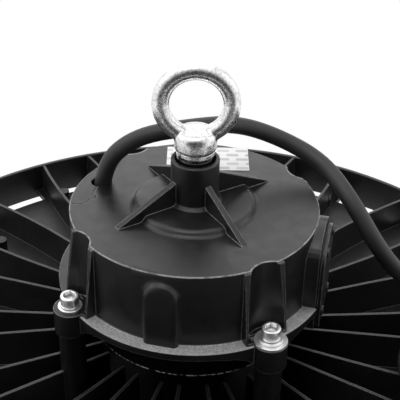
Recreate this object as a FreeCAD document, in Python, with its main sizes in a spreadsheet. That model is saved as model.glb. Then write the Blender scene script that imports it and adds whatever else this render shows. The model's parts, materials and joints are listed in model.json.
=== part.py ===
import FreeCAD, Part

# High bay light: a finned heat sink dish with an LED lens ring under it, a driver housing on top of it
# and an eye bolt to hang it by. Millimetres, +Z up, origin on the lamp's axis at its flat underside.

import math
import os

import Sketcher
from FreeCAD import Placement, Rotation, Vector

doc = FreeCAD.newDocument("high_bay_light")
sheet = doc.addObject("Spreadsheet::Sheet", "sizes")

SIZES = {
    # driver housing: an upturned cup with a flange at its mouth
    "lid_top": 108.0,
    "lid_radius": 61.0,
    "lid_thick": 3.0,
    "lid_edge": 0.5,
    "wall": 2.5,
    "flange_top": 69.7,
    "flange_under": 66.0,
    "flange_radius": 68.0,
    "mouth_radius": 53.0,
    "plateau_radius": 27.5,
    "plateau_foot": 31.8,
    "plateau_rise": 2.8,
    "boss_radius": 11.7,
    "boss_top": 133.6,
    "boss_recess": 10.0,
    "recess_depth": 6.0,
    "core_radius": 8.2,
    "washer_seat": 134.6,
    "bore_radius": 5.0,
    "bore_bottom": 119.5,
    "rib_azimuth": 32.7,
    "rib_thick": 3.0,
    "rib_top": 123.5,
    "rib_tip": 43.2,
    # ears, the channels above them and the gussets beside them
    "ear_azimuth": 31.5,
    "ear_circle": 68.7,
    "ear_radius": 8.1,
    "ear_top": 70.9,
    "ear_bottom": 58.0,
    "ear_hole": 2.75,
    "channel_radius": 10.7,
    "gusset_spread": 8.1,
    "gusset_thick": 3.7,
    "gusset_reach": 66.7,
    # stiffening bulges, the side port and the cable clamp, a quarter turn apart
    "bulge_azimuth": 76.5,
    "bulge_half": 8.2,
    "bulge_reach": 63.8,
    "bulge_top": 103.5,
    "bulge_round": 2.0,
    "port_azimuth": 346.5,
    "port_half": 18.0,
    "port_top": 107.2,
    "port_bottom": 55.0,
    "port_arch": 13.0,
    "port_back": 53.6,
    "port_face": 64.8,
    "gasket_thick": 0.7,
    "cover_thick": 1.8,
    "cover_top": 104.0,
    "cover_half": 17.2,
    "clamp_azimuth": 166.5,
    "clamp_half_out": 17.5,
    "clamp_half_in": 15.5,
    "clamp_inner": 51.0,
    "clamp_gap": 0.3,
    "bump_radius": 2.5,
    "bump_offset": 7.3,
    "cable_offset": 7.8,
    "cable_hole": 4.7,
    "cable_mouth": 0.5,
    # eye bolt, its spring washer and the four housing screws
    "collar_under": 139.0,
    "collar_radius": 10.2,
    "collar_top": 145.4,
    "dome_top": 150.6,
    "ring_height": 162.0,
    "ring_outer": 20.8,
    "ring_inner": 12.35,
    "shank_length": 18.0,
    "spring_outer": 9.2,
    "spring_inner": 5.2,
    "spring_thick": 2.2,
    "spring_split": 207.0,
    "spring_turn": 344.0,
    "screw_radius": 2.5,
    "screw_length": 25.0,
    "head_radius": 4.45,
    "head_height": 6.0,
    "socket_radius": 2.3,
    "socket_depth": 2.8,
    "small_washer": 5.8,
    "small_washer_thick": 1.2,
    "large_washer": 7.8,
    "large_washer_thick": 1.0,
    # driver tray under the housing and what it holds
    "tray_radius": 52.7,
    "tray_lip": 60.0,
    "tray_lip_thick": 2.5,
    "tray_bottom": 42.0,
    "tray_floor": 3.0,
    "tray_screw_circle": 56.5,
    "tray_pilot_depth": 3.2,
    # heat sink
    "sink_radius": 199.5,
    "sink_wall": 2.5,
    "sink_rim_top": 30.5,
    "sink_rim_bottom": 7.0,
    "floor_top": 12.5,
    "floor_under": 9.5,
    "slot_depth": 13.5,
    "floor_edge": "=sink_radius - sink_wall - slot_depth",
    "web_half": 5.5,
    "fin_pairs": 14,
    "fin_start": 0.9,
    "fin_half_angle": 5.2,
    "fin_inner": 49.5,
    "fin_straight": 105.0,
    "fin_bend": 416.0,
    "fin_top_inner": 34.5,
    "fin_thick_top": 1.6,
    "fin_thick_base": 2.6,
    "hub_radius": 22.0,
    "hub_bore": 14.0,
    "pillar_radius": 6.4,
    "post_radius": 3.5,
    "lens_post_circle": "=lens_ring_outer - ring_screw_inset",
    "lens_post_top": 20.7,
    "pad_circle": "=lens_post_circle - 10.5",
    "inner_post_circle": "=lens_post_circle - 24",
    "inner_post_azimuth": 22.0,
    # light engine under the heat sink
    "board_radius": "=gasket_inner - 3",
    "led_first_row": 30.0,
    "board_thick": 1.6,
    "chip_side": 3.0,
    "chip_thick": 0.7,
    "ring_margin": 17.0,
    "lens_ring_outer": "=sink_radius - sink_wall - ring_margin",
    "ring_screw_inset": 5.0,
    "ring_body": 9.7,
    "ring_body_inner": "=lens_ring_outer - ring_body",
    "ring_lip": 7.3,
    "ring_lip_inner": "=ring_body_inner - ring_lip",
    "lens_clearance": 0.3,
    "lens_radius": "=ring_body_inner - lens_clearance",
    "lens_under": 3.0,
    "lens_thick": 2.5,
    "lenslet_drop": 2.2,
    "gasket_width": 6.0,
    "gasket_outer": "=lens_radius - 3",
    "gasket_inner": "=gasket_outer - gasket_width",
    # power cable
    "cable_radius": 4.3,
    "coil_x": 150.0,
    "coil_y": -46.0,
    "coil_radius": 45.0,
    "coil_under": 32.8,
    "tail_length": 32.0,
}

for row, alias in enumerate(SIZES, start=1):
    sheet.set(f"A{row}", alias.replace("_", " "))
    sheet.setAlias(f"B{row}", alias)
for alias, content in SIZES.items():
    sheet.set(alias, str(content))
doc.recompute()

nodes = []


def cells(formula):
    """The formula with each size in it written as a cell of the sheet."""
    words = []
    for word in formula.replace("(", "( ").replace(")", " )").split():
        words.append(f"sizes.{word}" if word in SIZES else word)
    return " ".join(words)


def value(formula):
    """The number that a formula of the sheet's sizes gives."""
    return float(sheet.evalExpression(cells(formula)))


def bind(item, prop, formula):
    item.setExpression(prop, cells(formula))


def node(item, label):
    """Gives a finished sub-part the label that names its file."""
    item.Label = label
    nodes.append(item)
    return item


def turn_to(item, azimuth):
    bind(item, "Placement.Rotation.Angle", azimuth)


def sketch_on(body, role, outline, offset="0"):
    """A closed outline of straight sides on one of the body's own planes, every corner bound."""
    plane = next(item for item in body.Origin.OriginFeatures if item.Role == role)
    sketch = body.newObject("Sketcher::SketchObject", "outline")
    sketch.AttachmentSupport = (plane, [""])
    sketch.MapMode = "FlatFace"
    bind(sketch, "AttachmentOffset.Base.z", offset)
    corners = [Vector(value(across), value(up), 0) for across, up in outline]
    count = len(corners)
    for side in range(count):
        sketch.addGeometry(Part.LineSegment(corners[side], corners[(side + 1) % count]), False)
    for side in range(count):
        sketch.addConstraint(Sketcher.Constraint("Coincident", side, 2, (side + 1) % count, 1))
    for side, (across, up) in enumerate(outline):
        for kind, formula, place in (("DistanceX", across, corners[side].x), ("DistanceY", up, corners[side].y)):
            index = sketch.addConstraint(Sketcher.Constraint(kind, -1, 1, side, 1, place))
            sketch.setExpression(f"Constraints[{index}]", cells(formula))
    return sketch


def turned(name, outline):
    """A body turned about the lamp's axis from corners given as (radius, height)."""
    body = doc.addObject("PartDesign::Body", name)
    sketch = sketch_on(body, "XZ_Plane", outline)
    feature = body.newObject("PartDesign::Revolution", "turning")
    feature.Profile = sketch
    axis = next(item for item in body.Origin.OriginFeatures if item.Role == "Z_Axis")
    feature.ReferenceAxis = (axis, [""])
    feature.Angle = 360
    return body


def ring(name, inner, outer, bottom, top):
    return turned(name, [(inner, bottom), (outer, bottom), (outer, top), (inner, top)])


def padded(name, role, outline, length, offset="0", symmetric=False):
    body = doc.addObject("PartDesign::Body", name)
    sketch = sketch_on(body, role, outline, offset)
    feature = body.newObject("PartDesign::Pad", "pad")
    feature.Profile = sketch
    bind(feature, "Length", length)
    if symmetric:
        feature.SideType = "Symmetric"
    return body


def radial_plate(name, outline, thickness, azimuth):
    """A plate that stands on a radius of the lamp; corners are (radius, height)."""
    body = padded(name, "XZ_Plane", outline, thickness, symmetric=True)
    turn_to(body, azimuth)
    return body


def tangent_block(name, outline, start, depth, azimuth):
    """A block that faces outward at an azimuth; corners are (sideways, height)."""
    body = padded(name, "YZ_Plane", outline, depth, offset=start)
    turn_to(body, azimuth)
    return body


def cylinder(name, radius, bottom, top, circle="0", azimuth="0"):
    """An upright cylinder between two heights, on a circle about the axis."""
    item = doc.addObject("Part::Cylinder", name)
    bind(item, "Radius", radius)
    bind(item, "Height", f"{top} - ( {bottom} )")
    bind(item, "Placement.Base.x", f"( {circle} ) * cos( {azimuth} )")
    bind(item, "Placement.Base.y", f"( {circle} ) * sin( {azimuth} )")
    bind(item, "Placement.Base.z", bottom)
    return item


def box(name, length, width, height, x, y, z):
    item = doc.addObject("Part::Box", name)
    for prop, formula in (("Length", length), ("Width", width), ("Height", height)):
        bind(item, prop, formula)
    for axis, formula in (("x", f"{x} - ( {length} ) / 2"), ("y", f"{y} - ( {width} ) / 2"), ("z", z)):
        bind(item, f"Placement.Base.{axis}", formula)
    return item


def fuse(name, pieces):
    item = doc.addObject("Part::MultiFuse", name)
    item.Shapes = pieces
    return item


def cut(name, base, tools):
    item = doc.addObject("Part::Cut", name)
    item.Base = base
    item.Tool = tools[0] if len(tools) == 1 else fuse(f"{name}_tools", tools)
    return item


def common(name, base, tool):
    item = doc.addObject("Part::Common", name)
    item.Base = base
    item.Tool = tool
    return item


def around(azimuth, step, count):
    """The formulas of evenly stepped azimuths."""
    return [f"{azimuth} + {step * index}" for index in range(count)]


ARCH_STEPS = 10
EARS = around("ear_azimuth", 90, 4)
EAR_NAMES = ("back_right", "back_left", "front_left", "front_right")


def clamp_outline(grow):
    """Plan of the cable clamp, grown all round; corners are (outward, sideways)."""
    inner = f"clamp_inner - {grow}"
    half_in = f"( clamp_half_in + {grow} )"
    half_out = f"( clamp_half_out + {grow} )"
    return [
        (inner, f"3 - {half_in}"), (f"{inner} + 3", f"0 - {half_in}"), ("flange_radius + 3", f"0 - {half_out}"),
        ("flange_radius + 3", half_out), (f"{inner} + 3", half_in), (inner, f"{half_in} - 3"),
    ]


def clamp_prism(name, grow, bottom, top):
    body = padded(name, "XY_Plane", clamp_outline(grow), f"{top} - ( {bottom} )", offset=bottom)
    turn_to(body, "clamp_azimuth")
    return body


def seam_point(sideways):
    """The x and y of a point on the clamp's inner seam, so far sideways of the clamp's middle."""
    return (f"clamp_inner * cos( clamp_azimuth ) - {sideways} * sin( clamp_azimuth )",
            f"clamp_inner * sin( clamp_azimuth ) + {sideways} * cos( clamp_azimuth )")


def seam_cylinder(name, radius, bottom, top, sideways="( 0 - cable_offset )"):
    """An upright cylinder on the clamp's inner seam, at the cable unless told otherwise."""
    item = cylinder(name, radius, bottom, top)
    for axis, formula in zip("xy", seam_point(sideways)):
        bind(item, f"Placement.Base.{axis}", formula)
    return item


def clamp_key(name, radius, bottom, top):
    """The round key on the clamp's inner side."""
    return seam_cylinder(name, radius, bottom, top, "bump_offset")


def cable_passage():
    """The hole for the cable, on the seam of the clamp, with its mouth eased and a seat for the bush."""
    hole = seam_cylinder("cable_hole_cut", "cable_hole", "80", "lid_top + 1")
    seat = seam_cylinder("bush_seat_cut", "cable_hole + 2.4", "80", "98")
    mouth = doc.addObject("Part::Cone", "hole_mouth_cut")
    bind(mouth, "Radius1", "cable_hole")
    bind(mouth, "Radius2", "cable_hole + cable_mouth")
    bind(mouth, "Height", "cable_mouth")
    for axis, formula in zip("xy", seam_point("( 0 - cable_offset )")):
        bind(mouth, f"Placement.Base.{axis}", formula)
    bind(mouth, "Placement.Base.z", "lid_top - cable_mouth")
    return [hole, seat, mouth]


def driver_housing():
    cup = turned("housing_cup", [
        ("mouth_radius", "flange_under"), ("flange_radius", "flange_under"), ("flange_radius", "flange_top"),
        ("lid_radius + 0.9", "flange_top"), ("lid_radius + 0.3", "flange_top + 0.3"), ("lid_radius", "flange_top + 0.9"),
        ("lid_radius", "lid_top - lid_edge"), ("lid_radius - lid_edge", "lid_top"),
        ("plateau_foot", "lid_top"), ("plateau_foot * 0.8 + plateau_radius * 0.2", "lid_top + plateau_rise * 0.07"),
        ("plateau_foot * 0.6 + plateau_radius * 0.4", "lid_top + plateau_rise * 0.28"),
        ("plateau_foot * 0.4 + plateau_radius * 0.6", "lid_top + plateau_rise * 0.72"),
        ("plateau_foot * 0.2 + plateau_radius * 0.8", "lid_top + plateau_rise * 0.93"),
        ("plateau_radius", "lid_top + plateau_rise"),
        ("boss_radius + 1.5", "lid_top + plateau_rise + 0.3"), ("boss_radius", "lid_top + plateau_rise + 1.8"),
        ("boss_radius", "boss_top - 0.5"), ("boss_radius - 0.5", "boss_top"), ("boss_recess", "boss_top"),
        ("boss_recess", "boss_top - recess_depth"), ("core_radius", "boss_top - recess_depth"),
        ("core_radius", "washer_seat"), ("bore_radius", "washer_seat"), ("bore_radius", "bore_bottom"),
        ("0", "bore_bottom"), ("0", "lid_top - lid_thick"), ("lid_radius - wall - 2", "lid_top - lid_thick"),
        ("lid_radius - wall", "lid_top - lid_thick - 2"), ("lid_radius - wall", "flange_top"),
        ("mouth_radius", "flange_top"),
    ])
    inner_walls = [clamp_prism("pocket_walls", "wall", "flange_under", "lid_top - 1")]
    inner_walls.append(seam_cylinder("passage_wall", "cable_hole + 4.4", "76", "lid_top - 1"))
    for name, azimuth in zip(EAR_NAMES, EARS):
        inner_walls.append(cylinder(f"channel_wall_{name}", "channel_radius + wall", "flange_under",
                                    "lid_top - 1", "ear_circle", azimuth))
    bound = cylinder("housing_bound", "lid_radius - 0.5", "flange_under", "lid_top - 1")
    added = [cup, common("inner_walls", fuse("inner_wall_set", inner_walls), bound)]
    for name, azimuth in zip(EAR_NAMES, EARS):
        added.append(cylinder(f"ear_{name}", "ear_radius", "ear_bottom", "ear_top", "ear_circle", azimuth))
        skirt = tangent_block(f"skirt_{name}", [
            ("-26", "flange_under"), ("-17", "flange_under - 1.2"), ("-11", "flange_under - 3.6"),
            ("-7", "ear_bottom + 0.6"), ("7", "ear_bottom + 0.6"), ("11", "flange_under - 3.6"),
            ("17", "flange_under - 1.2"), ("26", "flange_under"), ("26", "flange_top - 1"), ("-26", "flange_top - 1"),
        ], "55", "14", azimuth)
        skirt_ring = ring(f"skirt_ring_{name}", "flange_radius - 5", "flange_radius", "ear_bottom", "flange_top")
        added.append(common(f"arch_{name}", skirt, skirt_ring))
        for side in (-1, 1):
            added.append(radial_plate(f"gusset_{name}", [
                ("lid_radius - 2", "flange_top - 1"), ("gusset_reach", "flange_top - 1"), ("gusset_reach", "flange_top"),
                ("lid_radius + 1", "lid_top - 1"), ("lid_radius - 2", "lid_top - 1"),
            ], "gusset_thick", f"{azimuth} + {side} * gusset_spread"))
    for azimuth in around("rib_azimuth", 90, 4):
        added.append(radial_plate("boss_rib", [
            ("boss_radius - 1.5", "lid_top - 1"), ("rib_tip", "lid_top - 1"), ("rib_tip", "lid_top + 0.3"),
            ("boss_radius - 0.5", "rib_top"), ("boss_radius - 1.5", "rib_top"),
        ], "rib_thick", azimuth))
    for azimuth in around("bulge_azimuth", 180, 2):
        added.append(bulge(azimuth))
    added.append(tangent_block("port_boss", port_outline("port_half", "port_bottom", "port_top"),
                               "port_back", "port_face - port_back", "port_azimuth"))
    removed = [clamp_prism("clamp_pocket", "clamp_gap", "flange_under - 1", "lid_top + 1")]
    removed.append(clamp_key("key_pocket", "bump_radius + clamp_gap", "flange_under - 1", "lid_top + 1"))
    removed += cable_passage()
    for name, azimuth in zip(EAR_NAMES, EARS):
        removed.append(cylinder(f"channel_{name}", "channel_radius", "ear_top", "lid_top + 1", "ear_circle", azimuth))
        removed.append(cylinder(f"ear_hole_{name}", "ear_hole", "ear_bottom - 1", "ear_top + 1", "ear_circle", azimuth))
    removed.append(tangent_block("port_front", [
        ("0 - port_half", "port_bottom - 1"), ("port_half", "port_bottom - 1"),
        ("port_half", "lid_top"), ("0 - port_half", "lid_top"),
    ], "port_face", "10", "port_azimuth"))
    removed += tray_screw_set("tray_pilot", "1.5", "flange_under - 1", "flange_under + tray_pilot_depth")
    removed.append(tangent_block("port_window", [
        ("-9", "flange_top + 4"), ("9", "flange_top + 4"), ("9", "flange_top + 22"), ("-9", "flange_top + 22"),
    ], "port_back - 4", "port_face - port_back + 6", "port_azimuth"))
    removed.append(turned("drum_clearance", [
        ("0", "flange_under - 12"), ("tray_radius + 0.9", "flange_under - 12"), ("tray_radius + 0.9", "flange_under - 2.5"),
        ("tray_lip + 0.4", "flange_under - 2.5"), ("tray_lip + 0.4", "flange_under"), ("0", "flange_under"),
    ]))
    return node(cut("housing", fuse("housing_form", added), removed), "driver_housing")


def bulge(azimuth):
    """A stiffening bulge of the wall: a post with an arched top and its outer edge rounded."""
    start = "lid_radius - 3"
    post = box("bulge_post", "bulge_reach - lid_radius + 3", "2 * bulge_half", "bulge_top - bulge_half - flange_top + 1",
               "( lid_radius + bulge_reach - 3 ) / 2", "0", "flange_top - 1")
    arch = doc.addObject("Part::Cylinder", "bulge_arch")
    bind(arch, "Radius", "bulge_half")
    bind(arch, "Height", "bulge_reach - lid_radius + 3")
    arch.Placement = Placement(Vector(0, 0, 0), Rotation(Vector(0, 1, 0), 90))
    bind(arch, "Placement.Base.x", start)
    bind(arch, "Placement.Base.z", "bulge_top - bulge_half")
    form = fuse("bulge_form", [post, arch])
    form.Refine = True
    doc.recompute()
    face = value("bulge_reach")
    low = value("flange_top")
    rim = []
    for index, edge in enumerate(form.Shape.Edges, start=1):
        bound = edge.BoundBox
        if bound.XMin > face - 0.01 and bound.ZMax > low:
            rim.append(index)
    soft = doc.addObject("Part::Fillet", "bulge_soft")
    soft.Base = form
    soft.Edges = [(index, value("bulge_round"), value("bulge_round")) for index in rim]
    turn_to(soft, azimuth)
    return soft


def port_outline(half, bottom, top):
    """The front of the side port, its top half an ellipse; corners are (sideways, height)."""
    right = []
    for step in range(ARCH_STEPS):
        angle = math.radians(90 * step / ARCH_STEPS)
        right.append((math.cos(angle), 1 - math.sin(angle)))
    left = [(-share, drop) for share, drop in reversed(right)]
    arch = right + [(0, 0)] + left
    corners = [(f"{half} * {share:.4f}", f"{top} - port_arch * {drop:.4f}") for share, drop in arch]
    foot = [(f"0 - {half} * 0.85", bottom), (f"{half} * 0.85", bottom), (half, f"{bottom} + 3")]
    return [(f"0 - {half}", f"{bottom} + 3")] + foot + corners


def cable_clamp():
    bound = turned("clamp_bound", [
        ("40", "flange_under"), ("flange_radius", "flange_under"), ("flange_radius", "flange_top"),
        ("lid_radius + 0.9", "flange_top"), ("lid_radius + 0.3", "flange_top + 0.3"), ("lid_radius", "flange_top + 0.9"),
        ("lid_radius", "lid_top - lid_edge"), ("lid_radius - lid_edge", "lid_top"), ("40", "lid_top"),
    ])
    keys = [clamp_prism("clamp_prism", "0", "flange_under", "lid_top")]
    keys.append(clamp_key("clamp_key", "bump_radius", "flange_under", "lid_top"))
    block = common("clamp_block", fuse("clamp_form", keys), bound)
    removed = cable_passage()
    removed += tray_screw_set("clamp_pilot", "1.5", "flange_under - 1", "flange_under + tray_pilot_depth")
    return node(cut("clamp", block, removed), "cable_clamp")


def eye_bolt():
    stem = turned("eye_stem", [
        ("0", "collar_under - shank_length"), ("bore_radius - 0.8", "collar_under - shank_length"),
        ("bore_radius", "collar_under - shank_length + 0.8"), ("bore_radius", "collar_under"),
        ("collar_radius - 0.6", "collar_under"), ("collar_radius", "collar_under + 0.6"),
        ("collar_radius", "collar_top - 0.6"), ("collar_radius - 0.6", "collar_top"), ("0", "collar_top"),
    ])
    rise = "( dome_top - collar_top )"
    rim = "( collar_radius - 0.6 )"
    ball = doc.addObject("Part::Sphere", "eye_ball")
    bind(ball, "Radius", f"( {rim} ^ 2 + {rise} ^ 2 ) / ( 2 * {rise} )")
    bind(ball, "Placement.Base.z", f"dome_top - ( {rim} ^ 2 + {rise} ^ 2 ) / ( 2 * {rise} )")
    dome = common("eye_dome", ball, cylinder("dome_bound", "collar_radius", "collar_top - 0.2", "dome_top + 1"))
    loop = doc.addObject("Part::Torus", "eye_loop")
    bind(loop, "Radius1", "( ring_outer + ring_inner ) / 2")
    bind(loop, "Radius2", "( ring_outer - ring_inner ) / 2")
    loop.Placement = Placement(Vector(0, 0, 0), Rotation(Vector(1, 0, 0), 90))
    bind(loop, "Placement.Base.z", "ring_height")
    return node(fuse("eye", [stem, dome, loop]), "eye_bolt")


def lock_washer():
    """A split spring washer, its two ends one thickness apart in height."""
    thick = value("spring_thick")
    inner = value("spring_inner")
    outer = value("spring_outer")
    sweep = value("spring_turn")
    path = Part.makeHelix(thick * 360 / sweep, thick, (inner + outer) / 2, 0, True)
    middle = (inner + outer) / 2
    half = (outer - inner) / 2
    corners = [Vector(middle - half, 0, 0), Vector(middle + half, 0, 0),
               Vector(middle + half, 0, thick), Vector(middle - half, 0, thick)]
    section = Part.makePolygon(corners + corners[:1])
    maker = Part.BRepOffsetAPI.MakePipeShell(Part.Wire(path.Edges))
    maker.setBiNormalMode(Vector(0, 0, 1))
    maker.add(section)
    maker.build()
    maker.makeSolid()
    item = doc.addObject("Part::Feature", "spring")
    item.Shape = maker.shape()
    bind(item, "Placement.Base.z", "washer_seat")
    turn_to(item, "spring_split")
    return node(item, "lock_washer")


def side_port():
    gasket = tangent_block("port_gasket", port_outline("( cover_half - 0.8 )", "port_bottom + 1.8", "cover_top - 0.8"),
                           "port_face", "gasket_thick", "port_azimuth")
    node(gasket, "side_port_gasket")
    plate = tangent_block("port_plate", port_outline("cover_half", "port_bottom + 1", "cover_top"),
                          "port_face + gasket_thick", "cover_thick", "port_azimuth")
    node(plate, "side_port_cover")
    heads = []
    face = "port_face + gasket_thick + cover_thick"
    for height in ("cover_top - 6.5", "port_bottom + 8"):
        for side in (-1, 1):
            head = doc.addObject("Part::Cylinder", "port_screw")
            bind(head, "Radius", "2.4")
            bind(head, "Height", "0.9")
            head.Placement = Placement(Vector(0, 0, 0), Rotation(Vector(0, 1, 0), 90))
            bind(head, "Placement.Base.x", face)
            bind(head, "Placement.Base.y", f"{side} * ( cover_half - 7.5 )")
            bind(head, "Placement.Base.z", height)
            heads.append(head)
    group = doc.addObject("Part::Compound", "port_screw_set")
    group.Links = heads
    turn_to(group, "port_azimuth")
    node(group, "side_port_screws")


def housing_screws():
    """Four socket head screws with washers, through the ears into the heat sink's pillars; one has a wide washer too."""
    for name, azimuth in zip(EAR_NAMES, EARS):
        bottom = "ear_top"
        if name == "front_right":
            bottom = "ear_top + large_washer_thick"
            disc = cylinder("wide_disc", "large_washer", "ear_top", bottom, "ear_circle", azimuth)
            hole = cylinder("wide_hole", "ear_hole", "ear_top - 1", f"{bottom} + 1", "ear_circle", azimuth)
            node(cut("wide_washer", disc, [hole]), f"wide_washer_{name}")
        seat = f"{bottom} + small_washer_thick"
        disc = cylinder(f"washer_disc_{name}", "small_washer", bottom, seat, "ear_circle", azimuth)
        hole = cylinder(f"washer_hole_{name}", "ear_hole", f"{bottom} - 1", f"{seat} + 1", "ear_circle", azimuth)
        node(cut(f"washer_{name}", disc, [hole]), f"housing_washer_{name}")
        head = cylinder(f"head_{name}", "head_radius", seat, f"{seat} + head_height", "ear_circle", azimuth)
        shank = cylinder(f"shank_{name}", "screw_radius", f"{seat} - screw_length", seat, "ear_circle", azimuth)
        socket = doc.addObject("Part::Prism", f"socket_{name}")
        socket.Polygon = 6
        bind(socket, "Circumradius", "socket_radius")
        bind(socket, "Height", "socket_depth + 1")
        bind(socket, "Placement.Base.x", f"ear_circle * cos( {azimuth} )")
        bind(socket, "Placement.Base.y", f"ear_circle * sin( {azimuth} )")
        bind(socket, "Placement.Base.z", f"{seat} + head_height - socket_depth")
        node(cut(f"screw_{name}", fuse(f"screw_form_{name}", [head, shank]), [socket]), f"housing_screw_{name}")


def tray_screw_set(name, radius, bottom, top):
    """Cylinders at the six screws of the tray's lip, two of which hold the clamp."""
    azimuths = EARS + ["clamp_azimuth - 10", "clamp_azimuth + 10"]
    return [cylinder(name, radius, bottom, top, "tray_screw_circle", azimuth) for azimuth in azimuths]


def driver_tray():
    drum = turned("tray_drum", [
        ("hub_bore", "tray_bottom"), ("tray_radius - 1.5", "tray_bottom"), ("tray_radius", "tray_bottom + 1.5"),
        ("tray_radius", "flange_under - tray_lip_thick"), ("tray_lip", "flange_under - tray_lip_thick"),
        ("tray_lip", "flange_under"), ("tray_radius - wall", "flange_under"),
        ("tray_radius - wall", "tray_bottom + tray_floor"), ("hub_bore", "tray_bottom + tray_floor"),
    ])
    under = "flange_under - tray_lip_thick"
    holes = tray_screw_set("tray_hole", "1.5", f"{under} - 1", "flange_under + 1")
    node(cut("tray", drum, holes), "driver_tray")
    heads = tray_screw_set("tray_screw_head", "2.5", f"{under} - 2", under)
    shanks = tray_screw_set("tray_screw_shank", "1.5", under, "flange_under + tray_pilot_depth - 0.3")
    group = doc.addObject("Part::Compound", "tray_screw_group")
    group.Links = [fuse("tray_screw", [head, shank]) for head, shank in zip(heads, shanks)]
    node(group, "tray_screws")


def driver_parts():
    """The driver inside the housing, plain: a round board on posts, a transformer, capacitors, a terminal block."""
    board = cylinder("board_disc", "44", "tray_bottom + tray_floor + 8", "tray_bottom + tray_floor + 9.6")
    bore = cylinder("board_bore", "8", "tray_bottom", "flange_under")
    node(cut("board", board, [bore]), "driver_board")
    posts = [cylinder("board_post", "3", "tray_bottom + tray_floor", "tray_bottom + tray_floor + 8", "38", azimuth)
             for azimuth in around("45", 90, 4)]
    group = doc.addObject("Part::Compound", "board_post_set")
    group.Links = posts
    node(group, "board_posts")
    deck = "tray_bottom + tray_floor + 9.6"
    node(box("transformer_core", "34", "28", "26", "4", "24", deck), "transformer")
    cans = [cylinder("capacitor", "6.5", deck, f"{deck} + 24", "26", azimuth) for azimuth in around("230", 34, 4)]
    group = doc.addObject("Part::Compound", "capacitor_set")
    group.Links = cans
    node(group, "capacitors")
    node(box("terminals", "14", "24", "14", "-29", "6", deck), "terminal_block")


def fin(angle, side):
    """One fin: straight along its radius, then bent away from its pair's middle, thinner and falling at the top."""
    start = value("fin_inner")
    straight = value("fin_straight")
    bend = value("fin_bend")
    reach = value("sink_radius - sink_wall / 2")
    low = value("floor_top") - 0.5
    high = value("fin_top_inner")
    fall = (high - value("sink_rim_top") + 0.6) / (reach - start)
    run = math.asin((reach - straight) / bend)

    def outline(thick, slope):
        """The fin's plan at one level, which falls outward by the slope."""
        def point(across, sideways):
            return Vector(across, sideways, (high if slope else low) - slope * (across - start))

        def bent(turned_by, offset):
            radius = bend - side * offset
            return point(straight + radius * math.sin(turned_by), side * (bend - radius * math.cos(turned_by)))

        edges = []
        for offset in (-thick / 2, thick / 2):
            edges.append(Part.LineSegment(point(start, offset), point(straight, offset)).toShape())
            edges.append(Part.Arc(bent(0, offset), bent(run / 2, offset), bent(run, offset)).toShape())
        edges.append(Part.LineSegment(point(start, -thick / 2), point(start, thick / 2)).toShape())
        edges.append(Part.LineSegment(bent(run, -thick / 2), bent(run, thick / 2)).toShape())
        return Part.Wire(Part.__sortEdges__(edges))

    blade = Part.makeLoft([outline(value("fin_thick_base"), 0), outline(value("fin_thick_top"), fall)], True, True)
    blade.rotate(Vector(0, 0, 0), Vector(0, 0, 1), angle)
    return blade


def revolved(corners):
    """A solid turned about the axis from (radius, height) pairs."""
    points = [Vector(radius, 0, height) for radius, height in corners]
    face = Part.Face(Part.makePolygon(points + points[:1]))
    return face.revolve(Vector(0, 0, 0), Vector(0, 0, 1), 360)


def sector(inner, outer, bottom, top, first, last):
    """Part of a ring between two azimuths."""
    points = [Vector(inner, 0, bottom), Vector(outer, 0, bottom), Vector(outer, 0, top), Vector(inner, 0, top)]
    piece = Part.Face(Part.makePolygon(points + points[:1])).revolve(Vector(0, 0, 0), Vector(0, 0, 1), last - first)
    piece.rotate(Vector(0, 0, 0), Vector(0, 0, 1), first)
    return piece


def upright(radius, bottom, top, circle, azimuth):
    angle = math.radians(azimuth)
    return Part.makeCylinder(radius, top - bottom, Vector(circle * math.cos(angle), circle * math.sin(angle), bottom))


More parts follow.
